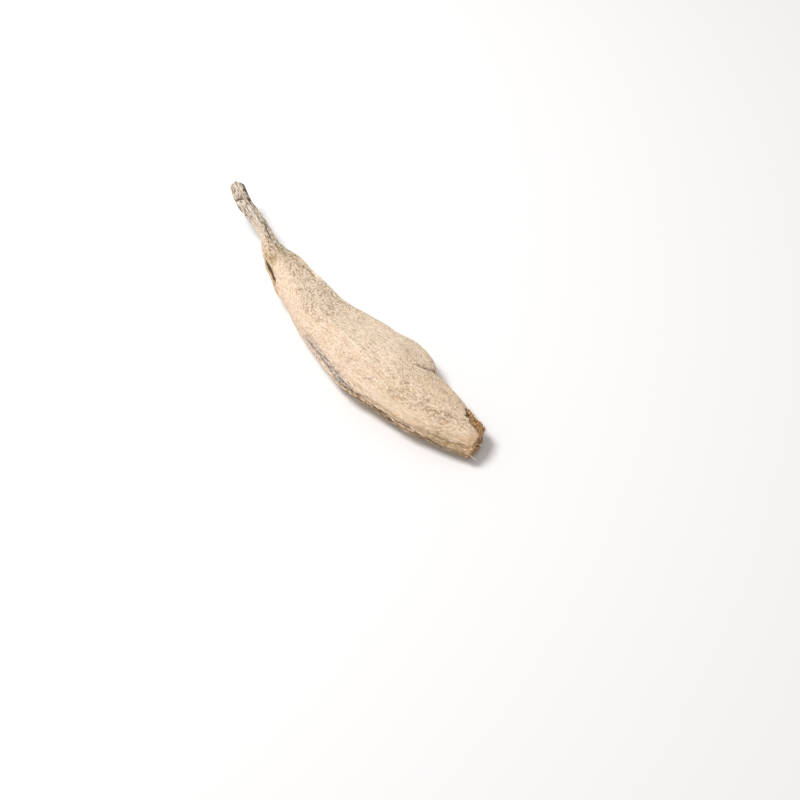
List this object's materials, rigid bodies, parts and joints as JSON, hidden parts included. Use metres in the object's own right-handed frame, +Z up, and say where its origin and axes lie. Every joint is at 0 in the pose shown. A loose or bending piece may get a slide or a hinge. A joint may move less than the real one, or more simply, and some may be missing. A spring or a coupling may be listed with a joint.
{
  "type": "freeze-dried cod strip",
  "caption": "Dried tail piece of a small fish: narrow ragged tail stump, broad domed flank, folded back edge, and a slanted torn cut end with a shallow gutted pocket.",
  "frame": {"origin": "on the floor, under the middle of the strip's bounding box", "axes": "+X along the strip from the tail stump to the slanted cut end, +Y towards the thin belly edge, +Z up out of the domed flank"},
  "size_m": [0.199, 0.043, 0.0198],
  "materials": {
    "dried_fish": "dry and matte, cream skin going to grey at the back edge and tail, golden brown where it is torn"
  },
  "bodies": {
    "root": {"cod_strip": "dried_fish"}
  },
  "joints": []
}
